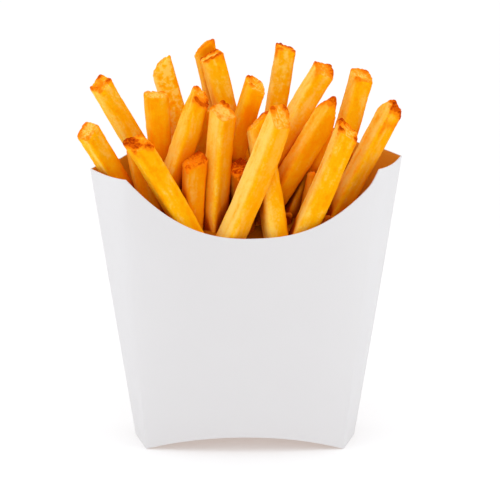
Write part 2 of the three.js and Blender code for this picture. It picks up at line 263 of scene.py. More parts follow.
CUT_LEAST = 0.5  # least rise of a cut end that has a high and a low side
GROW_FROM = 1.0  # distance from the middle line from which the relief counts in full
PLACE_SPREAD = 500.0  # how far apart the sticks' places in the random fields may be

# Browning, which is 1 where the crust is brown
BROWN_IN = 1.1  # how far it reaches over the cut end
BROWN_MOST = 1.5
RIM_BROWN = 0.42  # of the rim of the cut end
CORNER_BROWN = (0.15, 0.4)  # more at its corners, evenly and on the puffs
HIGH_BROWN = (0.7, 0.5)  # share of these halfway up the cut, and more at its highest side
LUMP_BROWN = 0.7
KNOB_BROWN = 0.3
RIM_DRIP = 0.7  # how much further it reaches down at the puffs of the long edges
RUN_FACING = (-0.3, 0.5)  # headings between which the run down a side begins
EDGE_BROWN, EDGE_DOWN = 0.15, 9.0  # of the long edges, and how far down
COVER_EVEN, COVER_LUMPS, COVER_PUFFS = 0.7, 0.8, 0.3  # of a covered end, in all and on these
COVER_DOWN = 1.2

# Cut flesh, tone, and the painted light and shade of the sides
FLESH_LEAST, FLESH_DOWN = 0.3, 0.4  # share of cut flesh, and how far it shows below the rim
END_TONE, END_TONE_DOWN = 0.8, 3.0  # how much deeper the crust is at the end, and how far down
LIT_WAY = (-1.0, 0.0, 0.6)  # sides that face this way are painted pale as if lit, and those that face away painted deep as if shaded
LIT_FACING = (0.0, 1.1)
PALE_EVEN, PALE_TONE = 0.6, 0.4  # painted paleness of a lit side, in all and for each unit of tone

# Painted shade: the crust is painted deeper where it faces another stick, the more so low in the
# heap
SHADE_REACH = 7.0  # gap to that stick at which this ends
SHADE_DEPTH = (4.0, 1.2)  # at the lower and at the upper of these heights
SHADE_HEIGHTS = (82.0, 118.0)

# Mesh and relief of the core
CORE_ROWS = 30
CORE_STRIPS = 40
CORE_RELIEF = 1.5
CORE_CELL = 6.0
CORE_SEED = 15

LOW_PIECES = 3  # pieces that the low fries are shared out over
SEED_STEP = 100  # between the pieces' seeds, more than any has sticks

# Cut edge and creases of the board
EDGE_ROUND = 0.12
EDGE_STEPS = 3
SHARP_ANGLE = 40.0

# ---- colours and studio

# Pale crust: partly the crust's own pale spots, partly painted highlight bands
CRUST_PALE_AND_HIGHLIGHT = (1.0, 0.59, 0.09)
CRUST_GOLD = (1.0, 0.46, 0.003)
CRUST_AMBER = (1.0, 0.34, 0.001)
PAINTED_LIT_SIDE = (1.0, 0.65, 0.14)
END_GOLD = (1.0, 0.36, 0.008)
# Cut flesh: a cream of its own, and on the wrinkle ridges painted glints
END_CREAM_AND_GLINT = (1.0, 0.54, 0.10)
BROWN_STEPS = (  # where the browning turns into the next colour, and that colour
    ((0.1, 0.5), (0.95, 0.24, 0.004)),
    ((0.5, 1.0), (0.66, 0.10, 0.001)),
    ((1.1, 1.6), (0.40, 0.04, 0.0005)),
)
OIL_TINT = (1.0, 0.6, 0.1)
SHADE_FILTER = (0.78, 0.36, 0.02)  # painted shade over the crust between the sticks
DEEP_SHADE_FILTER = (0.42, 0.2, 0.1)  # and deeper painted shade where it is deepest
# Painted shade: the core's two colours are dark as the shade deep in the heap
CORE_DEEP = (0.28, 0.06, 0.001)
CORE_AMBER = (0.55, 0.16, 0.002)
BOARD_WHITE = (0.738, 0.722, 0.729)
BOARD_SHADE = (0.725, 0.708, 0.715)
INSIDE_BROWN_LIGHT = (0.95, 0.45, 0.02)
INSIDE_BROWN_DARK = (0.78, 0.32, 0.01)
FLOOR_WHITE = (0.64, 0.695, 0.73)
FLOOR_GLOW = (0.31, 0.243, 0.208)  # light that the floor adds, which keeps its shadows pale
FLOOR_HALF = 6.0  # metres
SKY_LEVEL = (0.35, 0.348, 0.345)  # light from the horizon
SKY_FRONT = (0.08, 0.08, 0.08)  # light that the front adds to it
SKY_TOP = (1.48, 1.48, 1.48)  # light from straight above

# Sizes of the crust's markings across and along a stick, in millimetres
# Painted highlight: lengthwise pale bands stand in for the oily sheen along the sides
HIGHLIGHT_BAND_CELL = (3.0, 3.0, 30)
BLOTCH_CELL = (3.0, 3.0, 4.5)
STREAK_CELL = (1.1, 1.1, 7)
SPOT_CELL = (2.3, 2.3, 1.9)
SPECK_CELL = (0.9, 0.9, 0.9)
FLESH_CELL = (0.9, 1.6, 0.9)
# What these and others add to the lightness of the crust
PAINTED_HIGHLIGHT_BAND, BLOTCH_LIGHT, STREAK_LIGHT = 0.5, 0.3, 0.2
TONE_LIGHT, GRAIN_LIGHT = 0.06, 0.25
# Where one colour turns into the next
AMBER_TO_GOLD = (0.3, 0.5)
GOLD_TO_PALE = (0.48, 0.68)
SIDE_TO_PALE = (0.25, 0.6)
GOLD_TO_CREAM = (0.62, 0.97)
CREAM_BY_FLESH = 0.45  # what the flesh adds to the wrinkles there
CRUST_TO_FLESH = (0.1, 0.3)
SHADE_TO_DEEP = (0.64, 0.96)
SPECK_BROWN = (1.8, 0.15)  # strength of the specks in the browning, and what it has without
PAINTED_SHADED_SIDE = 0.8  # painted shade: how much deeper a side is that faces away from the light

CRUST_RELIEF = 0.00022  # metres
RELIEF_SHARES = (0.8, 0.5)  # of the blotches and of the specks in it
SHEEN = 0.015  # of the oily crust
FLESH_GLOW = 0.2  # light that goes through the flesh
FLESH_GLOW_COLOUR = (1.0, 0.35, 0.05)
FLESH_GLOW_DEPTH = 0.0015  # metres
# Clouds in the other finishes and their relief, in metres
CORE_CLOUD, CORE_BUMP = 0.006, 0.001
BOARD_CLOUD = 0.02
BOARD_FIBRE, FIBRE_BUMP = 0.0006, 0.00002
INSIDE_BROWN_CLOUD = 0.012

# Soft lights: heading from the front towards +X, height, both in degrees, and watts
KEY_LIGHT = (-66, 14, 0.15)
FILL_LIGHT = (66, 12, 0.14)
SOFTBOX_COLOUR = (0.88, 0.96, 1.0)
SOFTBOX_DISTANCE = 0.3  # metres
SOFTBOX_SIZE = 0.2

VIEW_DISTANCE = 720.0  # from the camera to its target
VIEW_ELEVATION = 13.0  # degrees
VIEW_HALF = 97.5  # half the width of the view at the target
VIEW_TARGET = (2.0, 0.0, 75.4)


# ---- numbers and fields


def mix(low, high, share):
    return low + (high - low) * share


def smooth_step(start, end, value):
    share = np.clip((value - start) / (end - start), 0, 1)
    return share * share * (3 - 2 * share)


def lattice_field(places, seed):
    """Smooth random numbers from -1 to 1 at places in space.

    Each corner of a cubic lattice with cells of size 1 has a random number, and a place gets
    the mean of its cell's eight corners, weighted by a smooth step along each axis.
    """
    size = 32
    numbers = np.random.default_rng(seed).uniform(-1, 1, (size, size, size))
    corner = np.floor(places).astype(int)
    weight = places - corner
    weight = weight * weight * (3 - 2 * weight)
    total = np.zeros(places.shape[:-1])
    for step in np.ndindex(2, 2, 2):
        at = tuple(((corner + step) % size)[..., axis] for axis in range(3))
        share = np.where(step, weight, 1 - weight).prod(-1)
        total += share * numbers[at]
    return total


def turned(plan, angle):
    """The x and y of a plan, turned by the angle."""
    x, y = plan
    return np.stack([x * np.cos(angle) - y * np.sin(angle), x * np.sin(angle) + y * np.cos(angle)])


def cubic(p0, p1, p2, p3, s):
    """The cubic Bezier curve through p0 and p3, with the handles p1 and p2."""
    r = 1 - s
    return r**3 * p0 + 3 * r * r * s * p1 + 3 * r * s * s * p2 + s**3 * p3


# ---- meshes


def grid_faces(rows, columns, first=0):
    """Quads of a grid of rows that each close on themselves. `first` is the number of its first
    point."""
    row, column = np.mgrid[0 : rows - 1, 0:columns]
    low = first + row * columns
    high = low + columns
    ahead = (column + 1) % columns
    return np.stack([low + column, high + column, high + ahead, low + ahead], -1).reshape(-1, 4)


def end_faces(rows, columns):
    """Fans of triangles to point 0, before the first row of a grid, and to the one after its
    last row."""
    column = np.arange(columns)
    ahead = (column + 1) % columns
    last = 1 + (rows - 1) * columns
    start = np.stack([0 * column, 1 + column, 1 + ahead], 1)
    end = np.stack([last + columns + 0 * column, last + ahead, last + column], 1)
    return np.concatenate([start, end])


def add_object(name, data):
    thing = bpy.data.objects.new(name, data)
    bpy.context.scene.collection.objects.link(thing)
    return thing


def add_mesh(name, points, quads, triangles, material_list):
    """A smooth mesh object in the part's frame, from points in millimetres."""
    mesh = bpy.data.meshes.new(name)
    corners = np.concatenate([quads.ravel(), triangles.ravel()]).astype(np.int32)
    sizes = np.concatenate([np.full(len(quads), 4), np.full(len(triangles), 3)])
    starts = np.concatenate([[0], np.cumsum(sizes)[:-1]]).astype(np.int32)
    mesh.vertices.add(len(points))
    places = (points + np.array(cad_shift)) * MM
    mesh.vertices.foreach_set("co", places.astype(np.float32).ravel())
    mesh.loops.add(len(corners))
    mesh.loops.foreach_set("vertex_index", corners)
    mesh.polygons.add(len(sizes))
    mesh.polygons.foreach_set("loop_start", starts)
    mesh.update(calc_edges=True)
    mesh.shade_smooth()
    mesh.validate()
    for material in material_list:
        mesh.materials.append(material)
    piece = add_object(name, mesh)
    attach(piece, "root")
    return piece


def add_numbers(piece, name, values, kind="FLOAT"):
    attribute = piece.data.attributes.new(name, kind, "POINT")
    field = "vector" if kind == "FLOAT_VECTOR" else "value"
    attribute.data.foreach_set(field, np.asarray(values, np.float32).ravel())


# ---- carton


def wall_points(u, back, height, inset):
    """Points of the carton's wall, in the tables' frame.

    `u` runs from 1 at the right fold over 0 in the middle of the panel to -1 at the left
    fold, and `back` mirrors the plan behind the middle plane. Each gusset and each panel is
    one cubic curve in plan, and their headings meet at the crease. A gusset's handles are a
    third of its length. A panel's bulge is three quarters of the rise of its handles. The
    plan's sizes change evenly with the height, and the plan turns by the twist and shifts by
    the sway on the way.
    """
    u, back, height, inset = np.broadcast_arrays(u, back, height, inset)
    share = height / HEIGHT
    soft = smooth_step(0, CREASE_FADE, share)
    fold = np.stack([mix(*FOLD_HALF, share) - INSET_FOLD * inset, 0 * share], -1)
    depth = mix(*CREASE_DEPTH, share) - INSET_CREASE[1] * inset
    crease = np.stack([mix(*CREASE_HALF, share) - INSET_CREASE[0] * inset, -depth], -1)
    far_crease = crease * [-1, 1]

    def heading(degrees):
        angle = np.radians(degrees)
        return np.stack([np.cos(angle), np.sin(angle)], -1)

    reach = np.linalg.norm(fold - crease, axis=-1)[..., None] / 3
    gusset = cubic(
        fold,
        fold - reach * heading(mix(*FOLD_ANGLE, share)),
        crease + reach * heading(mix(*GUSSET_ANGLE, soft)),
        crease,
        ((1 - abs(u)) / (1 - CREASE_AT))[..., None],
    )
    angle = mix(*PANEL_ANGLE, soft)
    reach = (mix(*BOW, share) / (0.75 * np.sin(np.radians(angle))))[..., None]
    panel = cubic(
        crease,
        crease - reach * heading(angle),
        far_crease + reach * heading(-angle),
        far_crease,
        ((1 - abs(u) / CREASE_AT) / 2)[..., None],
    )
    plan = np.where((abs(u) > CREASE_AT)[..., None], gusset, panel)
    x = np.where(u < 0, -plan[..., 0], plan[..., 0])
    y = np.where(back, -plan[..., 1], plan[..., 1])
    x, y = turned((x, y), np.radians(TWIST) * share)
    return np.stack([x + SWAY * share, y, height], -1)


def mouth_across(u):
    """Distance from the middle plane at the height of the mouth, before the twist."""
    x, y, _ = np.moveaxis(wall_points(u, False, HEIGHT, 0), -1, 0)
    turn = np.radians(TWIST)
    return (x - SWAY) * np.cos(turn) + y * np.sin(turn)


def brim_height(u, back):
    """Height of the brim: the corners at the folds, the straight edges of the gussets, the
    front panel's scoop, and the back panel's arch, a parabola. The scoop is a power curve,
    and its last stretch on the right climbs steeply to the gusset."""
    across = mouth_across(u)
    corner = HEIGHT + SLANT * across
    right = u >= 0
    end = np.where(back, CREASE_AT, np.where(right, SCOOP_ENDS[1], SCOOP_ENDS[0]))
    change = np.where(back, np.where(right, BACK_RISE[1], BACK_RISE[0]), -KINK_DROP)
    gusset = corner + change * (1 - abs(u)) / (1 - end)
    place = across / mouth_across(end)
    arch = corner + mix(*BACK_RISE, (1 + u / end) / 2) + ARCH_RISE * (1 - place**2)
    share = abs(place * np.where(right, SCOOP_STRETCH, 1) - SCOOP_SHIFT) / (1 + SCOOP_SHIFT)
    scoop = corner - KINK_DROP - SCOOP_DEPTH * (1 - share**SCOOP_POWER)
    short = SCOOP_DEPTH * (1 - ((SCOOP_STRETCH - SCOOP_SHIFT) / (1 + SCOOP_SHIFT)) ** SCOOP_POWER)
    scoop += short * (np.clip(place - SCOOP_HOOK, 0, None) / (1 - SCOOP_HOOK)) ** 2
    return np.where(abs(u) > end, gusset, np.where(back, arch, scoop))


def base_height(u):
    """Height of the bottom crease: straight under the gussets, a parabola under the panels."""
    return BASE_ARCH * np.clip(1 - (u / CREASE_AT) ** 2, 0, None)


def wall_columns():
    """Places round the carton: from the right fold over the front to the left fold, and back
    over the back panel. Each crease has a column, and the right ones move to the scoop's end."""
    gusset = np.linspace(1, CREASE_AT, GUSSET_COLUMNS, endpoint=False)
    panel = np.linspace(CREASE_AT, -CREASE_AT, PANEL_COLUMNS + 1)
    front = np.concatenate([gusset, panel, -gusset[:0:-1]])
    nearest = np.argmin(abs(front - SCOOP_ENDS[1]))
    front[nearest] = SCOOP_ENDS[1]
    u = np.concatenate([front, [-1], front[:0:-1]])
    back = np.arange(len(u)) > len(front)
    return u, back


def strip_faces(first, count, inner=None):
    """Strips across a closed loop of points, from each front point to the back point that
    mirrors it. `first` is the number of the loop's first point, and `inner` holds the numbers
    of the points between, if there are any. The loop's first and last front points have no
    mirror point, and their cells are triangles."""
    front = np.arange(count // 2 + 1)[:, None]
    between = front[:, :0] if inner is None else inner
    across = np.concatenate([first + front, between, first + (count - front) % count], 1)
    cells = np.stack([across[:-1, :-1], across[1:, :-1], across[1:, 1:], across[:-1, 1:]], -1)
    quads = cells[1:-1].reshape(-1, 4)
    return quads, np.concatenate([cells[0][:, :3], cells[-1][:, [0, 1, 3]]])


def closed_faces(rows, count, inner=None):
    """Faces of rows of points round the carton, closed by strips across the first row and
    across the last."""
    under_quads, under_triangles = strip_faces(0, count)
    over_quads, over_triangles = strip_faces((rows - 1) * count, count, inner)
    quads = np.concatenate([grid_faces(rows, count), under_quads, over_quads[:, ::-1]])
    return quads, np.concatenate([under_triangles, over_triangles[:, ::-1]])


def brim_profile():
    """Steps over the cut edge of the board: how far in, and how far below the brim."""
    angle = np.radians(np.linspace(0, 90, EDGE_STEPS + 1))
    over = EDGE_ROUND * (1 - np.cos(angle))
    below = EDGE_ROUND * (1 - np.sin(angle))
    return np.concatenate([over, BOARD - over[::-1]]), np.concatenate([below, below[::-1]])


def carton_mesh():
    """The folded blank: rows of points up the outside, over the cut edge and down the inside,
    closed by a floor of strips between the arched bottom creases of the two panels."""
    u, back = wall_columns()
    brim = brim_height(u, back)
    base = base_height(u)
    over, below = brim_profile()
    share = np.linspace(0, 1, WALL_ROWS, endpoint=False)[:, None]
    outer = mix(base, brim - EDGE_ROUND, share)
    edge = brim - below[:, None]
    inner = mix(base + BOARD, brim - EDGE_ROUND, share[::-1])
    heights = np.concatenate([outer, edge, inner])
    insets = np.concatenate([np.zeros(WALL_ROWS), over, np.full(WALL_ROWS, BOARD)])
    points = wall_points(u, back, heights, insets[:, None]).reshape(-1, 3)
    quads, triangles = closed_faces(len(heights), len(u))
    finishes = [white_board(), brown_inside_board()]
    piece = add_mesh("carton_board", points, quads, triangles, finishes)
    # The inside is what lies between the last rows of points.
    inside = (len(heights) - 1 - WALL_ROWS) * len(u)
    finish = np.concatenate([quads.min(1), triangles.min(1)]) >= inside
    piece.data.polygons.foreach_set("material_index", finish.astype(np.int32))
    piece.data.set_sharp_from_angle(angle=math.radians(SHARP_ANGLE))
    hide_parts("carton")


# ---- fries


def stick_profile(half, long):
    """The way from the middle of the cut end to the foot, as three columns: how far in from
    the side, how far below the end's plane, and the share of the heading that is along the
    stick. The end is flat, its rim a quarter circle, and the side is straight."""
    share = np.linspace(1, 0, END_ROWS, endpoint=False)
    end_inset = RIM_ROUND + (half - RIM_ROUND) * share
    end = np.stack([end_inset, 0 * share, np.ones(END_ROWS)], 1)[1:]
    angle = np.radians(np.linspace(90, 0, RIM_ROWS))
    rim = np.stack(
        [RIM_ROUND * (1 - np.cos(angle)), RIM_ROUND * (1 - np.sin(angle)), np.sin(angle)], 1
    )
    down = np.linspace(0, 1, SIDE_ROWS)[1:] ** SIDE_CROWDING
    depth = RIM_ROUND + (long - RIM_ROUND) * down
    side = np.stack([0 * depth, depth, 0 * depth], 1)
    return np.concatenate([end, rim, side])


def stick_way(fry):
    """The heading of a stick from its foot to its end, with a rise of 1."""
    return np.array([math.tan(math.radians(fry.lean)), math.tan(math.radians(fry.away)), 1])


def painted_contact_shade(points, headings, fry, heap):
    """How closely the surface faces the other sticks of the heap, from 0 to 1, painted on the
    crust as shade.

    Each other stick adds how squarely the surface faces the nearest point of its middle line,
    times a smooth fall with the gap to its side. The sum counts more low in the heap, and
    nears 1 as it grows."""
    total = np.zeros(points.shape[:-1])
    for other in heap:
        if other is fry:
            continue
        tip = np.array(other.tip)
        way = stick_way(other)
        long = tip[2] - FOOT
        back = np.clip((tip - points) @ way / (way @ way), 0, long)
        toward = tip - back[..., None] * way - points
        distance = np.linalg.norm(toward, axis=-1)
        facing = np.clip((toward * headings).sum(-1) / distance, 0, 1)
        total += facing * (1 - smooth_step(0, SHADE_REACH, distance - other.wide / 2))
    depth = mix(*SHADE_DEPTH, smooth_step(*SHADE_HEIGHTS, points[..., 2]))
    return 1 - np.exp(-depth * total)


def stick_axes(fry):
    """Unit vectors along a stick towards its end, across it and through it."""
    along = stick_way(fry)
    along /= np.linalg.norm(along)
    across = np.cross([0, 1, 0], along)
    across /= np.linalg.norm(across)
    return along, across, np.cross(along, across)


def stick_section(fry, draw, inset, depth, side, long):
    """The section at each depth: its points before and after its turn, the headings of its
    sides after the turn, and how near each column is to a long edge.

    The section is the rounded square |x|^n + |y|^n = 1, drawn in by the inset, its sides a
    little hollow, and thinner at the end by the taper. It turns by the twist near the end, and
    a little more on the way to the foot.
    """
    angle = np.linspace(0, 2 * np.pi, STICK_COLUMNS, endpoint=False)
    ring = np.stack([np.cos(angle), np.sin(angle)])
    radius = (abs(ring) ** SQUARENESS).sum(0) ** (-1 / SQUARENESS)
    corner = (radius - 1) / (radius.max() - 1)
    squash = draw.uniform(*FLATNESS)
    hollow = draw.uniform(0, HOLLOW) * (1 - corner) * side
    thin = 1 - fry.taper * np.exp(-((depth / TAPER_OVER) ** 2))
    size = (fry.wide / 2 * thin * (1 - hollow) - inset * thin) * radius
    section = np.stack([size * ring[0], size * ring[1] * squash])

    turn = fry.turn + fry.twist * smooth_step(0, TWIST_OVER, depth)
    turn = np.radians(turn + draw.uniform(-TURN_ON, TURN_ON) * depth / long)
    face = np.sign(ring) * abs(ring) ** (SQUARENESS - 1)
    face /= np.hypot(*face)
    return section, turned(section, turn), turned(face, turn), corner


def cut_end(fry, flat, depth, end_inset, long):
    """Three numbers at each point: how far along the stick it lies, from the middle of the cut
    end, how high it is on the slope of the cut, from -1 to 1, and how near the highest corner.

    A point rises by the slope of the cut, which fades evenly towards the foot. The middle of
    the end rises by its dome, a parabola, and the highest corner by a round blister.
    """
    rise = fry.cut[0] * flat[0] + fry.cut[1] * flat[1]
    high = rise / max(abs(rise).max(), CUT_LEAST)
    peak = np.unravel_index(np.argmax(np.where(depth < PEAK_DEPTH, rise, -np.inf)), rise.shape)
    away = np.hypot(flat[0] - flat[0][peak], flat[1] - flat[1][peak])
    near_peak = np.exp(-((away / KNOB_WIDE) ** 2)) * np.exp(-depth / KNOB_DEEP)
    swell = 1 - (1 - end_inset / (fry.wide / 2 - RIM_ROUND)) ** 2
    along = rise * (1 - depth / long) + fry.dome * swell + fry.knob * near_peak - depth
    return along, high, near_peak


def crust_relief(place, corner, side, up, rim):
    """How far the crust stands out, and its puffs and lumps.

    It is a sum of smooth random fields: a slow unevenness, lengthwise ridges, blisters on the
    sides, puffs, lumps and a flare round the rim, and wrinkles on the cut end.
    """

    def field(cell, number):
        return lattice_field(place / cell, LOOKS_SEED + number)

    puff = PUFF_GAIN * np.sqrt(field(PUFF_CELL, 2) ** 2 + PUFF_SOFT)
    lump = field(LUMP_CELL, 3)
    wrinkle = 1 - WRINKLE_GAIN * abs(field(WRINKLE_CELL, 4))
    blister = (abs(field(BLISTER_CELL, 5)) - BLISTER_LEVEL) * mix(*BLISTER_SHARES, corner)
    out = (
        WOBBLE * field(WOBBLE_CELL, 0)
        + RIDGE * field(RIDGE_CELL, 1)
        + BLISTER * blister * side
        + rim * (PUFF * (puff - PUFF_LEVEL) + LUMP * lump)
        + FLARE * rim * side
        + WRINKLE * wrinkle * up
    )
    return out, puff, lump


@dataclass
class Skin:
    """Numbers over one stick's surface, in rows from the middle of its end to its foot."""

    depth: np.ndarray  # below the plane of the cut end
    end_inset: np.ndarray  # how far in from the rim of the cut end
    cap: np.ndarray  # whether it is the cut end
    side: np.ndarray  # share of the heading that is across the stick
    corner: np.ndarray  # from 0 in the middle of a flat side to 1 at a long edge
    face_across: np.ndarray  # heading of the side towards +X
    high: np.ndarray  # height on the slope of the cut, from -1 to 1
    near_peak: np.ndarray  # nearness to the highest corner
    puff: np.ndarray
    lump: np.ndarray


def crust_browning(fry, skin):
    """How far the crust has browned.

    It is strongest at the rim of the cut end, and falls off over the end and down the sides,
    later at the long edges and where the run goes down. It grows at the corners of the rim, on
    the high side of the cut and on lumps. The long edges, the highest corner and the cover of
    the cut end add to it.
    """
    down = fry.rim + RIM_DRIP * skin.corner * skin.puff
    down = down + fry.run * np.clip(skin.high, 0, 1) * smooth_step(*RUN_FACING, skin.face_across)
    reach = np.where(skin.cap, np.exp(-skin.end_inset / BROWN_IN), np.exp(-skin.depth / down))
    crisp = RIM_BROWN + skin.corner**2 * (CORNER_BROWN[0] + CORNER_BROWN[1] * skin.puff)
    crisp = crisp * (HIGH_BROWN[0] + HIGH_BROWN[1] * skin.high) + LUMP_BROWN * skin.lump
    edge = skin.corner**3 * skin.side * skin.puff * np.exp(-skin.depth / EDGE_DOWN)
    covered = np.where(skin.cap, 1, np.exp(-skin.depth / COVER_DOWN))
    cover = COVER_EVEN + COVER_LUMPS * skin.lump + COVER_PUFFS * skin.puff
    brown = fry.brown * reach * crisp + EDGE_BROWN * edge
    brown = brown + KNOB_BROWN * fry.brown * skin.near_peak + fry.cover * covered * cover
    return np.clip(brown, 0, BROWN_MOST)


LOOKS = ("browning", "flesh", "tone", "mottle", "painted_lit_side", "painted_shaded_side", "painted_shade")


def stick_looks(fry, skin, toward_light, painted_shade):
    """What the finish of the crust reads, in the order of LOOKS.

    Cut flesh is the whole cut end and fades just below its rim. The tone is deeper near the
    end. A side is painted pale as if lit by how squarely it faces the light, less so where
    painted shade lies, and painted deep as if shaded by how squarely it faces away.
    """
    flesh = np.where(skin.cap, 1, np.exp(-skin.depth / FLESH_DOWN))
    flesh = flesh * mix(FLESH_LEAST, 1, fry.flesh)
    tone = fry.tone - END_TONE * np.exp(-skin.depth / END_TONE_DOWN) * skin.side
    painted_pale = smooth_step(*LIT_FACING, toward_light) * skin.side * (1 - painted_shade)
    painted_pale = painted_pale * (PALE_EVEN + PALE_TONE * fry.tone)
    painted_deep = smooth_step(*LIT_FACING, -toward_light) * skin.side
    looks = (crust_browning(fry, skin), flesh, tone, fry.mottle, painted_pale, painted_deep, painted_shade)
    return [np.broadcast_to(values, painted_shade.shape) for values in looks]


def closed_rows(values):
    """Rows of values as one list, between the mean of the first row and that of the last."""
    values = values.reshape(*values.shape[:2], -1)
    ends = values[[0, -1]].mean(1)
    return np.concatenate([ends[:1], values.reshape(-1, values.shape[-1]), ends[1:]])


def stick_surface(fry, seed, heap):
    """One stick: the number of its rows, and at each point its place in the tables' frame, its
    place in the random fields, and its looks.

    The section is carried down the profile and cut. The surface then moves along its heading
    by the relief, and the middle line bows sideways by a parabola.
    """
    draw = np.random.default_rng(seed)
    axis, across, through = stick_axes(fry)
    long = (fry.tip[2] - FOOT) * np.linalg.norm(stick_way(fry))
    profile = stick_profile(fry.wide / 2, long)
    inset, depth, up = (column[:, None] for column in profile.T)
    side = np.sqrt(1 - up * up)
    cap = up > CAP_UP
    end_inset = np.maximum(inset - RIM_ROUND, 0)
    section, flat, face, corner = stick_section(fry, draw, inset, depth, side, long)
    along, high, near_peak = cut_end(fry, flat, depth, end_inset, long)

    place = np.stack([*section, along], -1) + draw.uniform(0, PLACE_SPREAD, 3)
    rim = np.where(cap, np.exp(-((end_inset / RIM_WIDE) ** 2)), np.exp(-depth / FLARE_DEEP))
    out, puff, lump = crust_relief(place, corner, side, up, rim)
    bow = 4 * (depth / long) * (1 - depth / long) * draw.uniform(-BEND, BEND, 2)[:, None, None]
    flat = flat * (1 + out * side / np.maximum(np.hypot(*flat), GROW_FROM)) + bow
    along = along + out * up
    points = (
        np.array(fry.tip)
        + along[..., None] * axis
        + flat[0][..., None] * across
        + flat[1][..., None] * through
    )

    sideways = face[0][..., None] * across + face[1][..., None] * through
    headings = side[..., None] * sideways + up[..., None] * axis
    # Painted shade: the stick's own, or that of the sticks it faces, whichever is more
    painted_shade = np.maximum(fry.painted_shade, painted_contact_shade(points, headings, fry, heap))
    skin = Skin(depth, end_inset, cap, side, corner, face[0], high, near_peak, puff, lump)
    looks = stick_looks(fry, skin, sideways @ LIT_WAY, painted_shade)
    return len(profile), [closed_rows(values) for values in (points, place, *looks)]


def add_sticks(name, fries, first_seed, heap, material):
    """Sticks of the heap joined as one piece."""
    parts, quads, triangles, start = [], [], [], 0
    for number, fry in enumerate(fries):
        rows, values = stick_surface(fry, first_seed + number, heap)
        quads.append(grid_faces(rows, STICK_COLUMNS, start + 1))
        triangles.append(end_faces(rows, STICK_COLUMNS) + start)
        parts.append(values)
        start += len(values[0])
    points, place, *looks = (np.concatenate(column) for column in zip(*parts))
    piece = add_mesh(
        name, points, np.concatenate(quads), np.concatenate(triangles), [material]
    )
    add_numbers(piece, "stick_place", place, "FLOAT_VECTOR")
    for label, values in zip(LOOKS, looks):
        add_numbers(piece, label, values)
    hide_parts("fries")


def seeded_draws(seed):
    """A seeded row of numbers from 0 to 1, by the linear congruential rule."""
    factor, offset, size = 1664525, 1013904223, 2**32
    state = seed
    while True:
        state = (state * factor + offset) % size
        yield state / size


def stick_distance(one, other, above):
    """The shortest distance between two sticks' middle lines above a height, tried at spread
    places."""
    rows = []
    down = np.linspace(0, 1, NEAR_PLACES)[:, None]
    for fry in (one, other):
        drop = max(fry.tip[2] - above, 0)
        rows.append(np.array(fry.tip) - stick_way(fry) * drop * down)
    return np.linalg.norm(rows[0][:, None] - rows[1][None], axis=-1).min()


def filling_fries():
    """Layers of sticks in rows and columns, with seeded scatter. One that would stand too close
    to a stick already in place is left out."""
    draws = seeded_draws(FILLING_SEED)

    def spread(amount):
        return amount * (2 * next(draws) - 1)

    placed = []
    places = [(layer, row) for layer in LAYERS for row in layer.rows]
    for (layer, row), column in itertools.product(places, range(FILLING_COLUMNS)):
        x = (column - (FILLING_COLUMNS - 1) / 2) * FILLING_PITCH + spread(FILLING_SCATTER)
        y = row + spread(FILLING_SCATTER)
        z = layer.height + FILLING_TIP_RISE * y - layer.fall * x * x
        z += spread(layer.scatter)
        lean = FILLING_FAN * x + spread(FILLING_FAN_SCATTER)
        away = FILLING_FAN * y + spread(FILLING_FAN_SCATTER)
        section_turn = FILLING_TURN * next(draws)
        wide = mix(*FILLING_THICKNESS, next(draws))
        cut = (spread(FILLING_CUT_SCATTER), spread(FILLING_CUT_SCATTER))
        tip_x, tip_y = turned((x, y), math.radians(TWIST))
        fry = Fry((tip_x + SWAY, tip_y, z), lean, away, section_turn, wide, cut)
        fry.brown = FILLING_BROWN
        fry.painted_shade = layer.painted_shade
        edge = abs(x / layer.mouth[0]) ** MOUTH_POWER + abs(y / layer.mouth[1]) ** MOUTH_POWER
        gaps = [stick_distance(fry, other, layer.above) for other in NAMED_FRIES + placed]
        if edge < 1 and min(gaps) > layer.clear:
            placed.append(fry)
    return placed


def core_mesh(material):
    """The body of the heap inside the carton: rows of points up its wall, drawn in to leave a
    gap, and a lid of straight strips from front to back. The top rises evenly to the back, and
    a random field makes it rough."""
    u, back = wall_columns()
    count = len(u)
    inset = BOARD + GAP
    side = np.where(back, 1, -1) * (1 - abs(u))
    top = mix(CORE_FRONT_TOP, CORE_BACK_TOP, (1 + side) / 2)
    share = np.linspace(0, 1, CORE_ROWS)[:, None]
    heights = mix(base_height(u) + inset, top, share)
    wall = wall_points(u, back, heights, inset)
    front = np.arange(1, count // 2)
    step = np.linspace(0, 1, CORE_STRIPS + 1)[1:-1, None]
    rim = wall[-1]
    lid = mix(rim[front][:, None], rim[-front][:, None], step)
    lid[..., 2] += CORE_RELIEF * lattice_field(lid / CORE_CELL, CORE_SEED)
    # At the folds the lid has no width, and its points there are the rim's own.
    start = CORE_ROWS * count
    inner = start + np.arange(lid.size // 3).reshape(len(front), -1)
    inner = np.pad(inner, ((1, 1), (0, 0)), constant_values=start - count)
    inner[-1] += count // 2
    points = np.concatenate([wall.reshape(-1, 3), lid.reshape(-1, 3)])
    quads, triangles = closed_faces(CORE_ROWS, count, inner)
    piece = add_mesh("fries_core", points, quads, triangles, [material])
    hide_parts("fries")


# ---- finishes


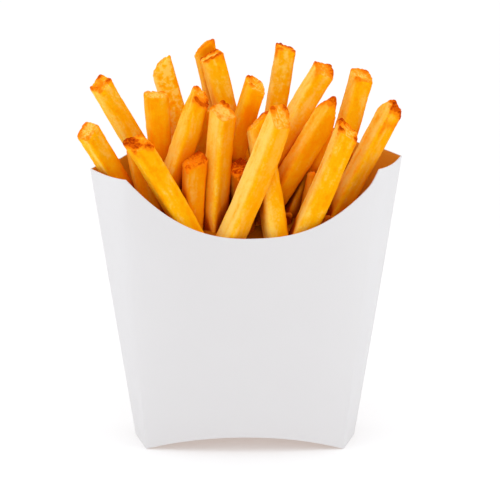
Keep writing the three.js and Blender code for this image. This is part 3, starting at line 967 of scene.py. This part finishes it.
class Nodes:
    """A node tree, and short calls that add nodes to it."""

    def __init__(self, tree):
        self.tree = tree

    def put(self, node, socket, value):
        """Sets an input, or links it when the value is another node's output."""
        target = node.inputs[socket]
        if isinstance(value, bpy.types.NodeSocket):
            self.tree.links.new(value, target)
        elif target.type == "RGBA":
            target.default_value = (*value, 1)
        else:
            target.default_value = value

    def add(self, kind, settings=None, **sockets):
        node = self.tree.nodes.new(kind)
        for name, value in (settings or {}).items():
            setattr(node, name, value)
        for socket, value in sockets.items():
            self.put(node, socket, value)
        return node

    def attribute(self, name, output="Fac"):
        return self.add("ShaderNodeAttribute", {"attribute_name": name}).outputs[output]

    def noise(self, coordinates, cell, detail):
        """Cloudy noise, in cells of the given size along each axis."""
        scale = tuple(1 / size for size in cell)
        place = self.add("ShaderNodeMapping", Vector=coordinates, Scale=scale).outputs[0]
        node = self.add("ShaderNodeTexNoise", Vector=place, Scale=1.0, Detail=detail)
        return node.outputs["Fac"]

    def cloud(self, wide, detail):
        """Noise in the object's own coordinates, in cells of that many metres."""
        place = self.add("ShaderNodeTexCoord").outputs["Object"]
        return self.noise(place, (wide, wide, wide), detail)

    def maths(self, operation, *values):
        node = self.add("ShaderNodeMath", {"operation": operation})
        for index, value in enumerate(values):
            self.put(node, index, value)
        return node.outputs[0]

    def plus(self, rest, value, share):
        """The rest, and that share of the value."""
        return self.maths("MULTIPLY_ADD", value, share, rest)

    def rise(self, value, start, end):
        """0 before start, 1 after end, and a smooth step between them."""
        settings = {"interpolation_type": "SMOOTHSTEP"}
        sockets = {"Value": value, "From Min": start, "From Max": end}
        return self.add("ShaderNodeMapRange", settings, **sockets).outputs["Result"]

    def blend(self, share, low, high, kind="MIX"):
        """Two colours by that share of the second, mixed, multiplied or added."""
        node = self.add("ShaderNodeMix", {"data_type": "RGBA", "blend_type": kind})
        for index, value in ((0, share), (6, low), (7, high)):
            self.put(node, index, value)
        return node.outputs[2]


class Finish(Nodes):
    """A node material with one Principled shader."""

    def __init__(self, name, roughness, ior):
        self.material = bpy.data.materials.new(name)
        self.material.use_nodes = True
        super().__init__(self.material.node_tree)
        self.shader = self.tree.nodes["Principled BSDF"]
        self.set("Roughness", roughness)
        self.set("IOR", ior)

    def set(self, socket, value):
        self.put(self.shader, socket, value)

    def bump(self, height, depth):
        """Relief of that depth, in metres."""
        node = self.add("ShaderNodeBump", Height=height, Distance=depth, Strength=1.0)
        self.set("Normal", node.outputs[0])


def crust_colour(finish, place, blotch, speck):
    """Amber, golden and pale crust, by a lightness that is the sum of blotches, painted highlight
    bands, streaks, the stick's tone, spots and grain. Sides that face the light are painted paler
    and those that face away painted deeper, as light and shade."""
    spots = finish.maths("SUBTRACT", finish.noise(place, SPOT_CELL, detail=3), 0.5)
    light = finish.maths("MULTIPLY", blotch, BLOTCH_LIGHT)
    for value, share in (
        # painted highlight bands along the sides
        (finish.noise(place, HIGHLIGHT_BAND_CELL, detail=1), PAINTED_HIGHLIGHT_BAND),
        (finish.noise(place, STREAK_CELL, detail=1), STREAK_LIGHT),
        (finish.attribute("tone"), TONE_LIGHT),
        (spots, finish.attribute("mottle")),
        (finish.maths("SUBTRACT", speck, 0.5), GRAIN_LIGHT),
    ):
        light = finish.plus(light, value, share)
    colour = finish.blend(finish.rise(light, *AMBER_TO_GOLD), CRUST_AMBER, CRUST_GOLD)
    colour = finish.blend(finish.rise(light, *GOLD_TO_PALE), colour, CRUST_PALE_AND_HIGHLIGHT)
    # Painted light and shade: sides facing the light turn pale, those facing away deep
    lit = finish.rise(light, *SIDE_TO_PALE)
    painted_pale = finish.maths("MULTIPLY", finish.attribute("painted_lit_side"), lit)
    colour = finish.blend(painted_pale, colour, PAINTED_LIT_SIDE)
    painted_deep = finish.maths("MULTIPLY", finish.attribute("painted_shaded_side"), PAINTED_SHADED_SIDE)
    return finish.blend(painted_deep, colour, CRUST_AMBER)


def fried_potato():
    """Oily crust, with wrinkled cut flesh over it at the end, pale in part as painted glints,
    darkened by painted shade between the sticks, and browned over all in three steps, unevenly
    by the specks."""
    finish = Finish("fried_potato", roughness=0.5, ior=1.2)
    place = finish.attribute("stick_place", "Vector")
    blotch = finish.noise(place, BLOTCH_CELL, detail=1)
    speck = finish.noise(place, SPECK_CELL, detail=2)
    colour = crust_colour(finish, place, blotch, speck)

    cut = finish.attribute("flesh")
    wrinkle = finish.noise(place, FLESH_CELL, detail=1)
    # Wrinkles: pale by the flesh's own cream and by painted glints on their ridges
    cream_and_glint = finish.rise(finish.plus(wrinkle, cut, CREAM_BY_FLESH), *GOLD_TO_CREAM)
    cut_colour = finish.blend(cream_and_glint, END_GOLD, END_CREAM_AND_GLINT)
    colour = finish.blend(finish.rise(cut, *CRUST_TO_FLESH), colour, cut_colour)

    # Painted shade: the crust is multiplied darker where the shade attribute says
    painted_shade = finish.attribute("painted_shade")
    colour = finish.blend(painted_shade, colour, SHADE_FILTER, "MULTIPLY")
    colour = finish.blend(finish.rise(painted_shade, *SHADE_TO_DEEP), colour, DEEP_SHADE_FILTER, "MULTIPLY")

    uneven = finish.maths("MULTIPLY_ADD", speck, *SPECK_BROWN)
    brown = finish.maths("MULTIPLY", finish.attribute("browning"), uneven)
    for rise, next_colour in BROWN_STEPS:
        colour = finish.blend(finish.rise(brown, *rise), colour, next_colour)
    finish.set("Base Color", colour)

    relief = finish.maths("MULTIPLY", speck, RELIEF_SHARES[1])
    finish.bump(finish.plus(relief, blotch, RELIEF_SHARES[0]), CRUST_RELIEF)
    finish.set("Specular IOR Level", SHEEN)
    finish.set("Specular Tint", OIL_TINT)
    finish.set("Subsurface Weight", FLESH_GLOW)
    finish.set("Subsurface Radius", FLESH_GLOW_COLOUR)
    finish.set("Subsurface Scale", FLESH_GLOW_DEPTH)
    return finish.material


def heap_core():
    """The potato under the sticks, painted dark as shade, in soft blotches of two colours."""
    finish = Finish("heap_core", roughness=0.6, ior=1.2)
    finish.set("Specular IOR Level", SHEEN)
    blotch = finish.cloud(CORE_CLOUD, detail=3)
    finish.set("Base Color", finish.blend(blotch, CORE_DEEP, CORE_AMBER))
    finish.bump(blotch, CORE_BUMP)
    return finish.material


def white_board():
    """Smooth coated board, in faint clouds of two whites, with the relief of paper fibre."""
    finish = Finish("white_board", roughness=0.55, ior=1.45)
    cloud = finish.cloud(BOARD_CLOUD, detail=2)
    finish.set("Base Color", finish.blend(cloud, BOARD_SHADE, BOARD_WHITE))
    finish.bump(finish.cloud(BOARD_FIBRE, detail=3), FIBRE_BUMP)
    return finish.material


def brown_inside_board():
    """The inside of the board, orange-brown in soft clouds of two colours."""
    finish = Finish("brown_inside_board", roughness=0.5, ior=1.45)
    cloud = finish.cloud(INSIDE_BROWN_CLOUD, detail=3)
    finish.set("Base Color", finish.blend(cloud, INSIDE_BROWN_DARK, INSIDE_BROWN_LIGHT))
    return finish.material


# ---- studio


def add_floor():
    """A wide flat floor, with a faint light of its own."""
    mesh = bpy.data.meshes.new("floor")
    square = ((-1, -1), (1, -1), (1, 1), (-1, 1))
    corners = [(x * FLOOR_HALF, y * FLOOR_HALF, 0) for x, y in square]
    mesh.from_pydata(corners, [], [(0, 1, 2, 3)])
    finish = Finish("pale_floor", roughness=0.9, ior=1.3)
    finish.set("Base Color", FLOOR_WHITE)
    finish.set("Emission Color", FLOOR_GLOW)
    finish.set("Emission Strength", 1.0)
    mesh.materials.append(finish.material)
    floor = add_object("floor", mesh)


def way_out(azimuth, elevation):
    """A unit vector away from the part. Azimuth 0 is the front, and it runs towards +X, both in
    degrees."""
    turn, climb = math.radians(azimuth), math.radians(elevation)
    level = math.cos(climb)
    return Vector((math.sin(turn) * level, -math.cos(turn) * level, math.sin(climb)))


def add_softbox(name, azimuth, elevation, watts):
    """A square soft light that looks at the middle of the part."""
    way = way_out(azimuth, elevation)
    data = bpy.data.lights.new(name, "AREA")
    data.size = SOFTBOX_SIZE
    data.energy = watts
    data.color = SOFTBOX_COLOUR
    light = add_object(name, data)
    light.location = middle + way * SOFTBOX_DISTANCE
    light.rotation_euler = way.to_track_quat("Z", "Y").to_euler()


def add_camera():
    """The front view, from a little above."""
    data = bpy.data.cameras.new("camera")
    data.angle = 2 * math.atan(VIEW_HALF / VIEW_DISTANCE)
    camera = add_object("camera", data)
    way = way_out(0, VIEW_ELEVATION)
    target = Vector(VIEW_TARGET) * MM + cad_shift * MM
    camera.location = target + way * VIEW_DISTANCE * MM
    camera.rotation_euler = way.to_track_quat("Z", "Y").to_euler()
    bpy.context.scene.camera = camera


def add_daylight():
    """Soft light from all round. It grows evenly from the horizon to straight above, and from
    the sides to the front."""
    world = bpy.data.worlds.new("studio")
    world.use_nodes = True
    sky = Nodes(world.node_tree)
    way = sky.add("ShaderNodeTexCoord").outputs["Generated"]
    split = sky.add("ShaderNodeSeparateXYZ", Vector=way)
    front = sky.maths("MULTIPLY", split.outputs["Y"], -1.0)
    light = sky.blend(split.outputs["Z"], SKY_LEVEL, SKY_TOP)
    light = sky.blend(front, light, SKY_FRONT, "ADD")
    sky.put(sky.tree.nodes["Background"], "Color", light)
    bpy.context.scene.world = world
    bpy.context.scene.view_settings.view_transform = "Standard"


# ---- assembly

middle = (cad_box[0] + cad_box[1]) / 2
carton_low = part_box("carton")[0]
u, back = wall_columns()
mouth_low = wall_points(u, back, brim_height(u, back), 0).min(0)
# The move from the tables' frame to the part's, in millimetres
cad_shift = Vector((carton_low.x / MM - mouth_low[0], carton_low.y / MM - mouth_low[1], 0))

carton_mesh()
low_fries = filling_fries()
heap = NAMED_FRIES + low_fries
pieces = {"front": FRONT_ROW, "second": SECOND_ROW, "third": THIRD_ROW, "back": BACK_ROW}
share = math.ceil(len(low_fries) / LOW_PIECES)
for number in range(LOW_PIECES):
    pieces[f"low_{number + 1}"] = low_fries[number * share : (number + 1) * share]
potato = fried_potato()
for number, (name, fries) in enumerate(pieces.items(), 1):
    add_sticks(f"fries_{name}", fries, number * SEED_STEP, heap, potato)
core_mesh(heap_core())

add_floor()
add_daylight()
add_softbox("key", *KEY_LIGHT)
add_softbox("fill", *FILL_LIGHT)
add_camera()
